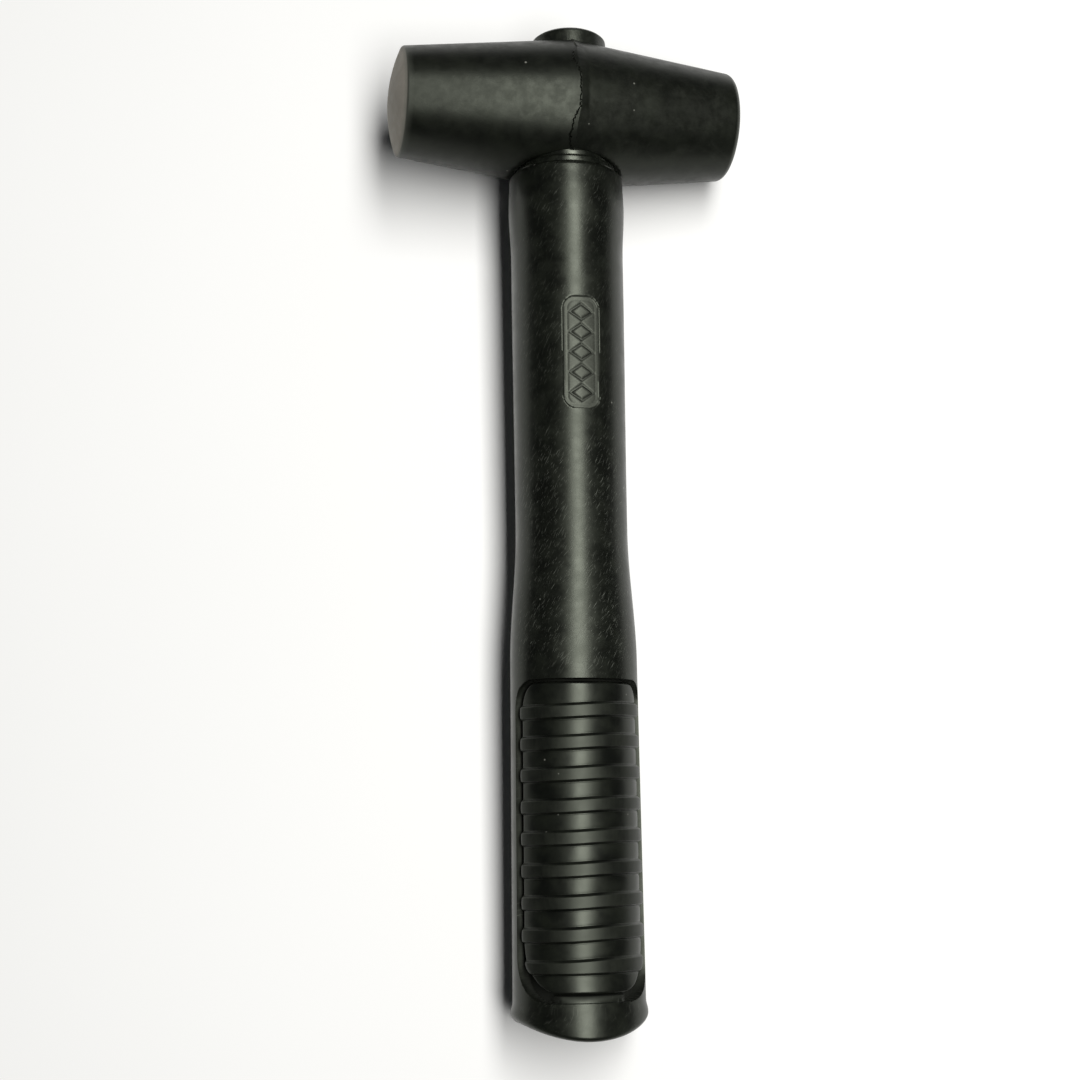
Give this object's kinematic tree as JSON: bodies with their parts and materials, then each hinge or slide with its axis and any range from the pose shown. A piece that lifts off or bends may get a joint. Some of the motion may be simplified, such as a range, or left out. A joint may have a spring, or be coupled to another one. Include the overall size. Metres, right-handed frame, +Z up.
{
  "type": "rubber mallet",
  "caption": "Short black rubber mallet: double-cone head with crowned striking faces on a jacketed steel-cored handle with ribbed grip inserts and a domed cap over its fastening.",
  "frame": {"origin": "on the surface that the mallet lies on, at the middle of its length and width", "axes": "+Y along the handle towards the head, +Z up from the surface that it lies on, +X along the head towards the striking face whose cone rests on that surface; the label side faces up. The mallet is laid at rest: rolled 7.20 degrees about its handle onto one cone of the head, and pitched 1.30 degrees so that the butt touches the same surface"},
  "size_m": [0.106, 0.2926, 0.0443],
  "materials": {
    "head_rubber": "satin moulded rubber with a raised seam, scuffed striking faces",
    "bush_steel": "black oxide steel",
    "ring_rubber": "satin moulded rubber",
    "core_steel": "drawn tube, plain",
    "plug_plastic": "matte",
    "zinc_steel": "zinc plated",
    "cap_plastic": "semi-gloss moulded",
    "jacket_plastic": "satin moulded with fine handling scratches",
    "grip_rubber": "satin soft moulding, ribbed"
  },
  "bodies": {
    "root": {"head_block": "head_rubber", "eye_bush": "bush_steel", "seat_ring": "ring_rubber", "handle_core": "core_steel", "core_top_plug": "core_steel", "core_butt_plug": "plug_plastic", "retaining_washer": "zinc_steel", "spring_washer": "zinc_steel", "retaining_screw": "zinc_steel", "top_cap": "cap_plastic", "handle_jacket": "jacket_plastic", "grip_insert_front": "grip_rubber", "grip_insert_back": "grip_rubber"}
  },
  "joints": []
}
